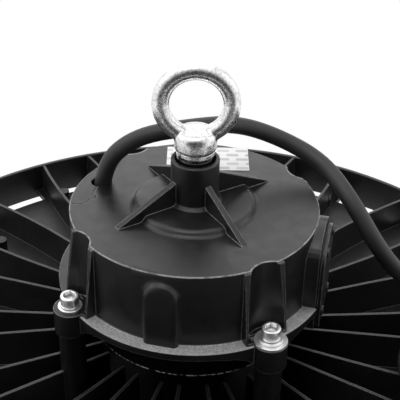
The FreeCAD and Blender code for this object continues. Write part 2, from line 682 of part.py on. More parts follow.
def heat_sink():
    outer = value("sink_radius")
    wall = value("sink_wall")
    rim_top = value("sink_rim_top")
    rim_bottom = value("sink_rim_bottom")
    floor_top = value("floor_top")
    floor_under = value("floor_under")
    edge = value("floor_edge")
    bore = value("hub_bore")
    tray = value("tray_bottom")
    inside = outer - wall
    dish = revolved([
        (bore, floor_under), (inside, floor_under), (inside, rim_bottom), (outer - 0.5, rim_bottom),
        (outer, rim_bottom + 0.5), (outer, rim_top - 0.5), (outer - 0.5, rim_top), (inside + 0.4, rim_top),
        (inside, rim_top - 0.4), (inside, floor_top), (value("hub_radius"), floor_top), (value("hub_radius"), tray),
        (bore, tray),
    ])
    step = 360 / value("fin_pairs")
    half = value("fin_half_angle")
    bend = value("fin_bend")
    straight = value("fin_straight")
    middle = (edge + inside) / 2
    swing = math.asin((middle - straight) / bend)
    drift = math.degrees(math.atan2(bend * (1 - math.cos(swing)), middle))
    web = math.degrees(math.asin(value("web_half") / middle))
    fins = []
    slots = []
    for pair in range(int(value("fin_pairs"))):
        centre = value("fin_start") + step * pair
        fins += [fin(centre + half, 1), fin(centre - half, -1)]
        lean = half + drift
        for first, last in ((centre - lean + web, centre + lean - web), (centre + lean + web, centre + step - lean - web)):
            slots.append(sector(edge, inside, floor_under - 1, floor_top + 1, first, last))
    dish = dish.cut(Part.makeCompound(slots))
    posts = []
    for index in range(4):
        azimuth = value(EARS[index])
        posts.append(upright(value("pillar_radius"), floor_top - 0.5, value("ear_bottom"), value("ear_circle"), azimuth))
    for index in range(6):
        azimuth = 60 * index
        posts.append(upright(value("post_radius"), floor_top - 0.5, value("lens_post_top"), value("lens_post_circle"), azimuth))
        posts.append(upright(value("post_radius"), floor_top - 0.5, floor_top + 1, value("pad_circle"), azimuth))
        posts.append(upright(value("post_radius"), floor_top - 0.5, value("lens_post_top"), value("inner_post_circle"),
                             azimuth + value("inner_post_azimuth")))
    body = dish.multiFuse(fins + posts)
    holes = []
    for index in range(4):
        azimuth = value(EARS[index])
        bottom = value("ear_top + small_washer_thick - screw_length") - 1
        holes.append(upright(value("screw_radius"), bottom, value("ear_bottom") + 1, value("ear_circle"), azimuth))
    for index in range(6):
        holes.append(upright(2, floor_under - 1, value("lens_post_top") - 2, value("lens_post_circle"), 60 * index))
    item = doc.addObject("Part::Feature", "sink")
    item.Shape = body.cut(Part.makeCompound(holes)).removeSplitter()
    return node(item, "heat_sink")


def light_engine():
    """LED board, chips, lens plate with its lenslets, gasket, ring and six screws, all under the floor."""
    board = ring("led_disc", "6", "board_radius", "floor_under - board_thick", "floor_under")
    node(board, "led_board")
    chips = []
    lenslets = []
    under = value("floor_under - board_thick")
    side = value("chip_side")
    first_row = value("led_first_row")
    pitch = (value("board_radius") - first_row) / 4
    for row, count in enumerate((6, 12, 18, 26)):
        radius = first_row + pitch * row
        for index in range(count):
            angle = math.radians(360 * (index + 0.5 * (row % 2)) / count)
            centre = Vector(radius * math.cos(angle), radius * math.sin(angle), 0)
            corner = centre + Vector(-side / 2, -side / 2, under - value("chip_thick"))
            chips.append(Part.makeBox(side, side, value("chip_thick"), corner))
            drop = value("lenslet_drop")
            lenslets.append(Part.makeCone(6.5, 10.5, drop, centre + Vector(0, 0, value("lens_under") - drop)))
    item = doc.addObject("Part::Feature", "chips")
    item.Shape = Part.makeCompound(chips)
    node(item, "led_chips")
    plate = Part.makeCylinder(value("lens_radius"), value("lens_thick"), Vector(0, 0, value("lens_under")))
    item = doc.addObject("Part::Feature", "lens")
    item.Shape = plate.multiFuse(lenslets).removeSplitter()
    node(item, "lens_plate")
    node(ring("lens_seal", "gasket_inner", "gasket_outer", "lens_under + lens_thick", "floor_under"), "lens_gasket")
    body = turned("lens_ring_body", [
        ("ring_lip_inner", "0"), ("lens_ring_outer - 0.8", "0"), ("lens_ring_outer", "0.8"), ("lens_ring_outer", "floor_under"),
        ("ring_body_inner", "floor_under"), ("ring_body_inner", "lens_under"), ("ring_lip_inner + 1.5", "lens_under"),
        ("ring_lip_inner", "lens_under - 1.5"),
    ])
    holes = []
    screws = []
    for azimuth in around("0", 60, 6):
        holes.append(cylinder("lens_screw_hole", "2.2", "-1", "floor_under + 1", "lens_post_circle", azimuth))
        holes.append(cylinder("lens_head_pocket", "3.8", "-1", "2.6", "lens_post_circle", azimuth))
        head = cylinder("lens_screw_head", "3.5", "0.4", "2.6", "lens_post_circle", azimuth)
        shank = cylinder("lens_screw_shank", "2", "2.6", "lens_post_top - 4", "lens_post_circle", azimuth)
        screws.append(fuse("lens_screw", [head, shank]))
    node(cut("lens_ring_cut", body, holes), "lens_ring")
    group = doc.addObject("Part::Compound", "lens_screw_set")
    group.Links = screws
    node(group, "lens_screws")


# Control points of the cable's route, from inside its bush over the lid and down to the coil on the fins.
CABLE_EXIT = Vector(*[value(formula) for formula in seam_point("( 0 - cable_offset )")], 90)
CABLE_ROUTE = [
    CABLE_EXIT, CABLE_EXIT + Vector(0, 0, 25), Vector(-31, 15, 136), Vector(-3, 17, 141),
    Vector(20, 30.5, 136.5), Vector(42.5, 36.5, 126), Vector(64.5, 26, 118), Vector(77, 4, 109),
    Vector(91, -7, 88), Vector(102.5, -3.5, 66.5), Vector(124, -1.5, 54.3),
]
EASE = 0.45
COIL_LAYERS = 3


def cord_path(points, first_share=1, last_share=1):
    """Straight runs joined by tangent arcs. A share under 1 says how much of an end run these points hold."""
    edges = []
    radii = []
    here = points[0]
    last_corner = len(points) - 2
    for index in range(1, len(points) - 1):
        corner = points[index]
        back = points[index - 1] - corner
        ahead = points[index + 1] - corner
        back_length = back.Length / (first_share if index == 1 else 1)
        ahead_length = ahead.Length / (last_share if index == last_corner else 1)
        reach = EASE * min(back_length, ahead_length)
        half_turn = (math.pi - back.getAngle(ahead)) / 2
        radii.append(reach / math.tan(half_turn))
        first = corner + back.normalize() * reach
        last = corner + ahead.normalize() * reach
        middle = corner + (back + ahead).normalize() * radii[-1] * (1 / math.cos(half_turn) - 1)
        edges.append(Part.LineSegment(here, first).toShape())
        edges.append(Part.Arc(first, middle, last).toShape())
        here = last
    edges.append(Part.LineSegment(here, points[-1]).toShape())
    return Part.Wire(edges), radii


def cord_tube(name, points, radius, **shares):
    """A tube along such a path; prints the arcs' radii and sets its volume against section times length."""
    path, radii = cord_path(points, **shares)
    section = Part.Wire(Part.makeCircle(radius, points[0], points[1] - points[0]))
    tube = path.makePipeShell([section], True, True)
    print(f"{name}: length {path.Length:.1f}, radii {', '.join(f'{size:.0f}' for size in radii)}, "
          f"volume over section times length {tube.Volume / (math.pi * radius * radius * path.Length):.4f}")
    return tube


def stacked_turns(centre, bend, radius, grow=0):
    """The outer shape of turns lying one on the other, as one ring about the coil's middle."""
    size = radius + grow
    low = Vector(bend, 0, 0)
    high = Vector(bend, 0, 2 * radius * (COIL_LAYERS - 1))
    side = Vector(size, 0, 0)
    drop = Vector(0, 0, size)
    section = Part.Wire([
        Part.Arc(low - side, low - drop, low + side).toShape(), Part.LineSegment(low + side, high + side).toShape(),
        Part.Arc(high + side, high + drop, high - side).toShape(), Part.LineSegment(high - side, low - side).toShape(),
    ])
    turns = Part.Face(section).revolve(Vector(0, 0, 0), Vector(0, 0, 1), 360)
    turns.translate(centre)
    return turns


def power_cable():
    radius = value("cable_radius")
    joint = (CABLE_ROUTE[-2] + CABLE_ROUTE[-1]) / 2
    item = doc.addObject("Part::Feature", "cable_tube")
    item.Shape = cord_tube("power cable", CABLE_ROUTE[:-1] + [joint], radius, last_share=0.5)
    node(item, "power_cable")
    centre = Vector(value("coil_x"), value("coil_y"), value("coil_under + cable_radius"))
    bend = value("coil_radius")
    entry = centre + Vector(0, bend, 2 * radius * (COIL_LAYERS - 1))
    inner = 0.98 * radius
    lead_in = cord_tube("lead into the coil", [joint, CABLE_ROUTE[-1], entry + Vector(6, -0.4, 0)], inner, first_share=0.5)
    tail = Part.makeCylinder(inner, value("tail_length"), centre - Vector(0, bend, 0), Vector(-1, 0, 0))
    coil = stacked_turns(centre, bend, radius).fuse(lead_in).fuse(tail)
    item = doc.addObject("Part::Feature", "cable_coil")
    item.Shape = coil
    node(item, "power_cable_coil")
    tail_end = centre - Vector(value("tail_length"), bend, 0)
    cores = []
    for index in range(3):
        angle = math.radians(90 + 120 * index)
        place = tail_end + Vector(0, 1.9 * math.cos(angle), 1.9 * math.sin(angle))
        core = Part.makeCylinder(1.4, 9, place, Vector(-1, 0, 0))
        cores.append(core.fuse(Part.makeCylinder(0.9, 16, place, Vector(-1, 0, 0))))
    item = doc.addObject("Part::Feature", "cores")
    item.Shape = Part.makeCompound(cores)
    node(item, "cable_cores")
    window = Part.makeBox(20, 4.5, 60, centre + Vector(bend - 10, -2.25, -15))
    item = doc.addObject("Part::Feature", "tie")
    item.Shape = stacked_turns(centre, bend, radius, 1.1).common(window).cut(coil)
    node(item, "cable_tie")


def small_parts():
    """The bush round the cable, the leads down to the LED board, their sleeve and the bare rating label."""
    bush = seam_cylinder("bush_outer", "cable_hole + 2.4", "80", "98")
    bore = seam_cylinder("bush_bore", "cable_radius", "79", "99")
    node(cut("bush", bush, [bore]), "cable_bush")
    sleeve = ring("sleeve", "3", "hub_bore", "floor_under + 4", "tray_bottom + tray_floor")
    node(sleeve, "wire_sleeve")
    leads = [cylinder("lead", "1.3", "floor_under", "tray_bottom + tray_floor + 8", "1.6", azimuth)
             for azimuth in around("0", 180, 2)]
    group = doc.addObject("Part::Compound", "lead_set")
    group.Links = leads
    node(group, "output_leads")
    node(box("label_plate", "43", "24", "0.2", "6.5", "44.2", "lid_top"), "rating_label")


driver_housing()
cable_clamp()
eye_bolt()
lock_washer()
side_port()
housing_screws()
driver_tray()
driver_parts()
heat_sink()
light_engine()
power_cable()
small_parts()
doc.recompute()

for item in doc.Objects:
    if "Invalid" in item.State or "Error" in item.State:
        raise RuntimeError(f"{item.Name} did not build: {item.State}")
for item in nodes:
    if item.Shape.isNull() or not item.Shape.isValid():
        raise RuntimeError(f"{item.Label} has no valid shape")

os.makedirs("parts", exist_ok=True)
for item in nodes:
    item.Shape.exportStep(f"parts/{item.Label}.step")
    print(f"{item.Label}: {len(item.Shape.Solids)} solids, {item.Shape.Volume / 1000:.1f} cm3")
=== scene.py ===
import json
import math

import bmesh
import bpy
from mathutils import Matrix, Vector


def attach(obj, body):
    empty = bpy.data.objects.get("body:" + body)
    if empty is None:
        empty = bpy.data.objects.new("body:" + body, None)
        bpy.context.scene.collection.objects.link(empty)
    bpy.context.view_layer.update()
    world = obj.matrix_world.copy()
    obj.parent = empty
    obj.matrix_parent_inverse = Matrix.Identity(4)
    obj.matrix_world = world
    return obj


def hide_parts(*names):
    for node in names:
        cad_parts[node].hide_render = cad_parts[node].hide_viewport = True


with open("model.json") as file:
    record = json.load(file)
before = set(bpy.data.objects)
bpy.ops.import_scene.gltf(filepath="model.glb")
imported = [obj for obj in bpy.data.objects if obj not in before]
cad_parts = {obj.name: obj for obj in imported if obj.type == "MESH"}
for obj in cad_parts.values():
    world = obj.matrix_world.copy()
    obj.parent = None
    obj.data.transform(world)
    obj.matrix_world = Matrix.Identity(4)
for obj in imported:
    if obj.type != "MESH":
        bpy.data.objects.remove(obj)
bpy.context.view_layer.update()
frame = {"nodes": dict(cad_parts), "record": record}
nodes = frame["nodes"]
scene = bpy.context.scene

# Lengths are in millimetres and angles in degrees, unless a comment says otherwise.
MM = 0.001

# Camera: a short telephoto in front of the lamp and above it, turned a little about its own axis.
CAMERA_AT = Vector((0, -404.0, 362.6))
CAMERA_AIM = Vector((2.6, 0, 109.9))
CAMERA_ROLL = 1.162
CAMERA_LENS = 87.91
CAMERA_SENSOR = 36.0
CAMERA_NEAR = 20.0
CAMERA_FAR = 20000.0

# Sizes of the castings, as in the part.
LID_TOP = 108.0
LID_RADIUS = 61.0
LEDGE_TOP = 69.7
EAR_CIRCLE = 68.7
EAR_AZIMUTH = 31.5
EAR_COUNT = 4
CHANNEL_RADIUS = 10.7
BULGE_AZIMUTH = 76.5
TRAY_BOTTOM = 42.0

# Limits of the masks that change a casting's looks from place to place.
HIGHLIGHT_BAND = 0.9  # radius of the band of painted highlight on outer edges
HIGHLIGHT_COSINES = (0.72, 0.95)  # of rounded and true normal: the painted highlight is full at the first, none at last
LEDGE_LIMIT = 0.2  # over LEDGE_TOP; the ledge's faces lie below it
LEDGE_LIGHT_Y = (-38.0, -24.0)  # the ledge's grain, painted lighter along its front as if lit, is full before the first, gone past the last
LEDGE_FACING = 0.7  # least upward part of the face's normal
BULGE_HALF_WIDTH = 14.0
BULGE_DISTANCE = 55.0  # from the lamp's axis, along the bulge's azimuth
BULGE_FOOT = 1.5  # over LEDGE_TOP
LID_EDGE_Z = (-0.7, 0.1)  # over LID_TOP
LID_EDGE_RADII = (LID_RADIUS - 8.0, LID_RADIUS - 7.9)  # leaves out the edges of what stands on it
LID_EDGE_FACING = (0.15, 0.97)  # upward part of the face's normal
LIP_WIDTH = 0.7  # of the painted highlight line round a screw channel's arch
LIP_DEPTH = 0.3
TRAY_EDGE_Z = (1.4, 2.1)  # heights of the painted glint on the tray's lower edge, over TRAY_BOTTOM
HUB_SHADE_RADII = (56.0, 82.0)  # the dish's painted shade is full within the first, and gone past the last
HUB_SHADE_FIN_Z = 20.0  # upward faces above it, the tops of the fins, get no painted shade
HUB_SHADE_FIN_FACING = 0.8
# Colour and specular level of the painted shade near the hub.
HUB_SHADE_BLACK = (0.0008, 0.0008, 0.0008)
HUB_SHADE_SPECULAR = 0.08
USUAL_SPECULAR = 0.5

# Colours of the bright steel and of the shade painted in its recesses, and how far across a recess
# may be.
BRIGHT_ZINC = (0.95, 0.95, 0.96)
HOLLOW_SHADE_GREY = (0.08, 0.08, 0.08)
HOLLOW_REACH = 3.0

# The rounded edge of films and mouldings, and the angles from which an edge is sharp.
THIN_EDGE = 0.15
CAD_SHARP_ANGLE = 33
SCREW_SHARP_ANGLE = 30

# Eye bolt: the forging's flattish dome over the collar, as (radius, height) from the top down.
DOME_OUTLINE = [(2.0, 149.8), (5.5, 149.4), (8.3, 148.6),
                (9.5, 147.5), (10.0, 146.2), (10.1, 143.0)]
DOME_STEPS = 64
EYE_VOXEL = 0.45
EYE_SOFTENING = 14

# Socket head screws of the housing, M5.
HEAD_RADIUS = 4.45
HEAD_HEIGHT = 6.0
SOCKET_FLATS = 5.2
SOCKET_DEPTH = 2.4
SCREW_RADIUS = 2.5
SCREW_STEPS = 60

# Power cable and its coil.
CLAMP_INNER = 51.0
CLAMP_AZIMUTH = 166.5
CABLE_OFFSET = 7.8
CABLE_EXIT_HEIGHT = 90.0
CABLE_RADIUS = 4.3
COIL_CENTRE = Vector((150, -46, 37.1))
COIL_RADIUS = 45.0
COIL_TURNS = 2.5
COIL_STEP = 22.5
TAIL = 32.0  # straight run from the coil's last turn to the bare end

# Studio: the floor's reach, and the white tent that is dim towards its opening.
FLOOR_HALF = 4000.0
FLOOR_DEPTH = 0.2
FLOOR_FRONT = 280.0  # it ends this far in front of the axis, so that the steel mirrors less of it
LENS_REACH = 170.0  # within it the floor lets light through to the lens
TENT_LIGHT = 1.0
OPENING_TOWARD = Vector((0, -1, -0.25))
OPENING_COSINES = (0.45, 0.86)  # the tent dims from the first on and is dimmest past the last
OPENING_LIGHT = 0.07

# Soft boxes: name, place and aim in metres, width and height in metres, power in watts.
SOFT_BOXES = [
    ("back_sweep", (-0.2, 1.4, 0.9), (0, 0, 0.1), 1.8, 1.0, 5),
    ("left_box", (-1.2, 0.1, 0.9), (0, 0, 0.12), 0.9, 0.9, 4),
    ("top_box", (0, 0.1, 1.3), (0, 0, 0.1), 1.3, 1.3, 3),
    ("front_box", (-0.3, -0.55, 1.5), (0, 0, 0.12), 0.5, 0.5, 3),
    ("right_box", (1.2, 0.2, 0.6), (0, 0, 0.12), 0.5, 0.9, 1.4),
]


def polar(radius, azimuth, height=0.0):
    """A point given by its distance from the lamp's axis, its azimuth and its height."""
    angle = math.radians(azimuth)
    return Vector((radius * math.cos(angle), radius * math.sin(angle), height))


def make_camera():
    """The scene's camera, looking from its place to its aim and rolled about that line."""
    camera = bpy.data.objects.new("camera", bpy.data.cameras.new("camera"))
    scene.collection.objects.link(camera)
    forward = (CAMERA_AIM - CAMERA_AT).normalized()
    across = forward.cross(Vector((0, 0, 1))).normalized()
    up = across.cross(forward)
    roll = math.radians(CAMERA_ROLL)
    right = math.cos(roll) * across + math.sin(roll) * up
    top = math.cos(roll) * up - math.sin(roll) * across
    turn = Matrix((right, top, -forward)).transposed().to_4x4()
    camera.matrix_world = Matrix.Translation(CAMERA_AT * MM) @ turn
    camera.data.lens = CAMERA_LENS
    camera.data.sensor_width = CAMERA_SENSOR
    camera.data.clip_start = CAMERA_NEAR * MM
    camera.data.clip_end = CAMERA_FAR * MM
    scene.camera = camera


make_camera()


# Material helpers: each makes one node, or a few that always go together.
def material(name, **values):
    """A material, its node tree and its shader, with values for the shader's own sockets."""
    made = bpy.data.materials.new(name)
    made.use_nodes = True
    tree = made.node_tree
    shader = tree.nodes["Principled BSDF"]
    for socket, value in values.items():
        shader.inputs[socket.replace("_", " ")].default_value = value
    return made, tree, shader


def noise(tree, scale, detail=3.0, roughness=0.6):
    """A noise in the object's own coordinates, with its scale per metre."""
    coords = tree.nodes.new("ShaderNodeTexCoord")
    made = tree.nodes.new("ShaderNodeTexNoise")
    made.inputs["Scale"].default_value = scale
    made.inputs["Detail"].default_value = detail
    made.inputs["Roughness"].default_value = roughness
    tree.links.new(coords.outputs["Object"], made.inputs["Vector"])
    return made.outputs["Fac"]


def spread(tree, source, low, high, start=0.35, end=0.65):
    """Maps start to low and end to high, and holds them outside. The defaults suit a noise."""
    made = tree.nodes.new("ShaderNodeMapRange")
    limits = {"From Min": start, "From Max": end, "To Min": low, "To Max": high}
    for socket, value in limits.items():
        made.inputs[socket].default_value = value
    tree.links.new(source, made.inputs["Value"])
    return made.outputs["Result"]


def math_node(tree, operation, first, second):
    """One operation on two numbers, each given as such or as a socket."""
    made = tree.nodes.new("ShaderNodeMath")
    made.operation = operation
    for socket, source in zip(made.inputs, (first, second)):
        if isinstance(source, (int, float)):
            socket.default_value = source
        else:
            tree.links.new(source, socket)
    return made.outputs[0]


def above(tree, source, limit):
    """One where the source is more than the limit."""
    return math_node(tree, "GREATER_THAN", source, limit)


def below(tree, source, limit):
    """One where the source is less than the limit."""
    return math_node(tree, "LESS_THAN", source, limit)


def either(tree, first, second):
    """The greater of two masks."""
    return math_node(tree, "MAXIMUM", first, second)


def all_of(tree, *masks):
    """The product of the masks."""
    joined = masks[0]
    for mask in masks[1:]:
        joined = math_node(tree, "MULTIPLY", joined, mask)
    return joined


def vector_node(tree, operation, first, second):
    """Outputs of one operation on a vector's socket and another socket or fixed vector."""
    made = tree.nodes.new("ShaderNodeVectorMath")
    made.operation = operation
    tree.links.new(first, made.inputs[0])
    if isinstance(second, bpy.types.NodeSocket):
        tree.links.new(second, made.inputs[1])
    else:
        made.inputs[1].default_value = second
    return made.outputs


def blend_colours(tree, source, first, second):
    """Mixes two colours, given as triples or as sockets, by a mask."""
    made = tree.nodes.new("ShaderNodeMix")
    made.data_type = "RGBA"
    # Of a Mix node's sockets of each type, inputs 6 and 7 and output 2 are the colours.
    for socket, colour in ((made.inputs[6], first), (made.inputs[7], second)):
        if isinstance(colour, tuple):
            socket.default_value = (*colour, 1)
        else:
            tree.links.new(colour, socket)
    tree.links.new(source, made.inputs["Factor"])
    return made.outputs[2]


def bevel_node(tree, radius, samples):
    """A node whose normal turns evenly over edges, as if they were rounded by a radius."""
    bevel = tree.nodes.new("ShaderNodeBevel")
    bevel.samples = samples
    bevel.inputs["Radius"].default_value = radius * MM
    return bevel


def relief(tree, shader, heights, edge, soft_edge=None):
    """Bumps from (height, strength, distance) triples, on edges rounded by a radius.

    soft_edge is a socket that gives the radius in its place, in metres.
    """
    bevel = bevel_node(tree, edge, 8)
    if soft_edge:
        tree.links.new(soft_edge, bevel.inputs["Radius"])
    normal = bevel.outputs["Normal"]
    for height, strength, distance in heights:
        bump = tree.nodes.new("ShaderNodeBump")
        bump.inputs["Strength"].default_value = strength
        bump.inputs["Distance"].default_value = distance * MM
        tree.links.new(height, bump.inputs["Height"])
        tree.links.new(normal, bump.inputs["Normal"])
        normal = bump.outputs["Normal"]
    tree.links.new(normal, shader.inputs["Normal"])


# Masks: each is one where its feature is, nought elsewhere, and between them where it fades.
def geometry(tree, output):
    """One output of a Geometry node, such as Position."""
    return tree.nodes.new("ShaderNodeNewGeometry").outputs[output]


def coordinates(tree, output):
    """X, Y and Z of a Geometry node's output: the Position shaded, or its face's True Normal."""
    parts = tree.nodes.new("ShaderNodeSeparateXYZ")
    tree.links.new(geometry(tree, output), parts.inputs[0])
    return parts.outputs


def along(tree, direction):
    """The shaded point's distance from the axis along a direction, without its sign."""
    product = vector_node(tree, "DOT_PRODUCT", geometry(tree, "Position"), direction)
    return math_node(tree, "ABSOLUTE", product["Value"], 0)


def distance_mask(tree, first, last):
    """Nought within the first radius from the lamp's axis, rising to one at the last."""
    flat = vector_node(tree, "MULTIPLY", geometry(tree, "Position"), (1, 1, 0))
    far = vector_node(tree, "DISTANCE", flat["Vector"], (0, 0, 0))
    return spread(tree, far["Value"], 0, 1, first * MM, last * MM)


def highlight_breaks(tree, scale, least, start=0.4, end=0.56):
    """A noise that breaks up a line of painted highlight, never below a least value."""
    return spread(tree, noise(tree, scale), least, 1.0, start, end)


def edge_highlight_mask(tree):
    """Outer edges of a form, where a broken highlight is painted."""
    rounded = bevel_node(tree, HIGHLIGHT_BAND, 6).outputs["Normal"]
    agreement = vector_node(tree, "DOT_PRODUCT", rounded, geometry(tree, "Normal"))
    turned_away = spread(tree, agreement["Value"], 1.0, 0.0, *HIGHLIGHT_COSINES)
    return all_of(tree, turned_away, highlight_breaks(tree, 420, 0.35))


def lit_ledge_mask(tree):
    """The housing's ledge along its front, where its grain is painted lighter as if lit."""
    place = coordinates(tree, "Position")
    facing = coordinates(tree, "True Normal")
    full, gone = LEDGE_LIGHT_Y
    return all_of(tree, below(tree, place["Z"], (LEDGE_TOP + LEDGE_LIMIT) * MM),
                  spread(tree, place["Y"], 1, 0, full * MM, gone * MM),
                  above(tree, facing["Z"], LEDGE_FACING))


def bulge_mask(tree):
    """The two bulges of the housing's wall."""
    place = coordinates(tree, "Position")
    return all_of(tree,
                  below(tree, along(tree, polar(1, BULGE_AZIMUTH + 90)), BULGE_HALF_WIDTH * MM),
                  above(tree, along(tree, polar(1, BULGE_AZIMUTH)), BULGE_DISTANCE * MM),
                  above(tree, place["Z"], (LEDGE_TOP + BULGE_FOOT) * MM))


def lid_highlight_mask(tree):
    """The lid's rounded edge, where a broken highlight is painted."""
    place = coordinates(tree, "Position")
    facing = coordinates(tree, "True Normal")
    bottom, top = LID_EDGE_Z
    least, most = LID_EDGE_FACING
    return all_of(tree, above(tree, place["Z"], (LID_TOP + bottom) * MM),
                  below(tree, place["Z"], (LID_TOP + top) * MM),
                  above(tree, distance_mask(tree, *LID_EDGE_RADII), 0.5),
                  above(tree, facing["Z"], least), below(tree, facing["Z"], most),
                  highlight_breaks(tree, 300, 0.3))


def channel_highlight_mask(tree):
    """The lid beside the arches of the screw channels, where a broken highlight is painted."""
    place = coordinates(tree, "Position")
    near = None
    for index in range(EAR_COUNT):
        ear = polar(EAR_CIRCLE, EAR_AZIMUTH + 360 / EAR_COUNT * index, LID_TOP) * MM
        gap = vector_node(tree, "DISTANCE", geometry(tree, "Position"), ear)
        lip = below(tree, gap["Value"], (CHANNEL_RADIUS + LIP_WIDTH) * MM)
        near = either(tree, near, lip) if near else lip
    return all_of(tree, near, above(tree, place["Z"], (LID_TOP - LIP_DEPTH) * MM),
                  highlight_breaks(tree, 350, 0.2))


def tray_glint_mask(tree):
    """The tray's lower edge, where a thin broken glint is painted."""
    place = coordinates(tree, "Position")
    bottom, top = TRAY_EDGE_Z
    return all_of(tree, below(tree, place["Z"], (TRAY_BOTTOM + top) * MM),
                  above(tree, place["Z"], (TRAY_BOTTOM + bottom) * MM),
                  highlight_breaks(tree, 600, 0.0, 0.47, 0.6))


def unshaded_dish_mask(tree):
    """One where the dish has no painted shade: away from its hub, and on the tops of the fins."""
    place = coordinates(tree, "Position")
    facing = coordinates(tree, "True Normal")
    fin_top = all_of(tree, above(tree, facing["Z"], HUB_SHADE_FIN_FACING),
                     above(tree, place["Z"], HUB_SHADE_FIN_Z * MM))
    return either(tree, distance_mask(tree, *HUB_SHADE_RADII), fin_top)


def coated_casting(name, dark, light, gloss, edge,
                   ledge=None, edge_highlight=None, soft=None, hub_shade=False, rim_glint=None):
    """Satin black powder coat over a die casting, in patches of two near blacks.

    ledge gives two greys for the ledge's grain, painted lighter along its front where light falls,
    worn the grey of the highlight painted on outer edges, soft the wider radius of the edges over
    the bulges and with it highlights painted on the lid's edge and the channels' arches, and rim
    the grey of the glint painted on the tray's lower edge. deep darkens the dish near its hub with
    painted shade.
    """
    made, tree, shader = material(name, Metallic=0.0, IOR=1.5)
    patches = noise(tree, 45, 5)
    grain = noise(tree, 1400, 2)
    colour = blend_colours(tree, spread(tree, patches, 0, 1), dark, light)
    if ledge:
        # The ledge's grain in two greys, painted lighter along its front where light falls.
        lit_grain = blend_colours(tree, spread(tree, noise(tree, 2400, 2), 0, 1, 0.38, 0.62), *ledge)
        colour = blend_colours(tree, lit_ledge_mask(tree), colour, lit_grain)
    soft_edge = None
    if edge_highlight:
        # A broken highlight painted on outer edges, left off over the bulges.
        edges = edge_highlight_mask(tree)
        if soft:
            beside_bulges = math_node(tree, "SUBTRACT", 1, bulge_mask(tree))
            edges = all_of(tree, edges, beside_bulges)
        colour = blend_colours(tree, edges, colour, edge_highlight)
    if soft:
        # Painted highlights on the lid's rounded edge and beside the channels' arches.
        colour = blend_colours(tree, lid_highlight_mask(tree), colour, edge_highlight)
        colour = blend_colours(tree, channel_highlight_mask(tree), colour, edge_highlight)
        soft_edge = spread(tree, bulge_mask(tree), edge * MM, soft * MM, 0, 1)
    if hub_shade:
        # Painted shade near the hub: a near black colour and a weaker specular level.
        lit = unshaded_dish_mask(tree)
        colour = blend_colours(tree, lit, HUB_SHADE_BLACK, colour)
        specular = spread(tree, lit, HUB_SHADE_SPECULAR, USUAL_SPECULAR, 0, 1)
        tree.links.new(specular, shader.inputs["Specular IOR Level"])
    if rim_glint:
        # A painted glint along the tray's lower edge.
        colour = blend_colours(tree, tray_glint_mask(tree), colour, rim_glint)
    tree.links.new(colour, shader.inputs["Base Color"])
    roughness = spread(tree, noise(tree, 160, 4), gloss - 0.05, gloss + 0.06)
    tree.links.new(roughness, shader.inputs["Roughness"])
    relief(tree, shader, [(patches, 0.12, 0.5), (grain, 0.4, 0.16)], edge, soft_edge)
    return made


def plated_steel(name, gloss, speckle, edge=0.25, shaded_hollows=False):
    """Bright zinc over forged or turned steel, with painted shade in its recesses where hollows is
    set.
    """
    made, tree, shader = material(name, Metallic=1.0)
    cloud = spread(tree, noise(tree, 700, 4, 0.7), 0, 1, 0.42, 0.62)
    colour = blend_colours(tree, cloud, BRIGHT_ZINC, speckle)
    if shaded_hollows:
        # Painted shade: darker where an ambient occlusion node finds a recess.
        shade = tree.nodes.new("ShaderNodeAmbientOcclusion")
        shade.inputs["Distance"].default_value = HOLLOW_REACH * MM
        open_mask = spread(tree, shade.outputs["AO"], 0, 1, 0.3, 0.7)
        colour = blend_colours(tree, open_mask, HOLLOW_SHADE_GREY, colour)
    tree.links.new(colour, shader.inputs["Base Color"])
    roughness = spread(tree, noise(tree, 500, 4), gloss - 0.05, gloss + 0.12)
    tree.links.new(roughness, shader.inputs["Roughness"])
    dents = noise(tree, 260, 6, 0.7)
    grain = noise(tree, 1800)
    relief(tree, shader, [(dents, 0.3, 0.3), (grain, 0.5, 0.08)], edge)
    return made


def moulded(name, colour, other, gloss, grain=900, depth=0.05, **values):
    """Plastic, rubber or board: two near colours in patches and a fine grain."""
    made, tree, shader = material(name, **values)
    patches = noise(tree, 90, 4)
    base = blend_colours(tree, spread(tree, patches, 0, 1), colour, other)
    tree.links.new(base, shader.inputs["Base Color"])
    tree.links.new(spread(tree, patches, gloss - 0.04, gloss + 0.05), shader.inputs["Roughness"])
    relief(tree, shader, [(noise(tree, grain), 0.25, depth)], THIN_EDGE)
    return made


def printed_film(name):
    """White label film with rows of plain grey bars in place of its print."""
    made, tree, shader = material(name, Roughness=0.4)
    coords = tree.nodes.new("ShaderNodeTexCoord")
    bars = tree.nodes.new("ShaderNodeTexBrick")
    for socket, grey in {"Color1": 0.36, "Color2": 0.52, "Mortar": 0.66}.items():
        bars.inputs[socket].default_value = (grey, grey, grey, 1)
    sizes = {"Scale": 1, "Brick Width": 0.23, "Row Height": 0.19, "Mortar Size": 0.045}
    for socket, size in sizes.items():
        bars.inputs[socket].default_value = size
    tree.links.new(coords.outputs["Generated"], bars.inputs["Vector"])
    tree.links.new(bars.outputs["Color"], shader.inputs["Base Color"])
    relief(tree, shader, [(noise(tree, 400), 0.25, 0.02)], THIN_EDGE)
    return made
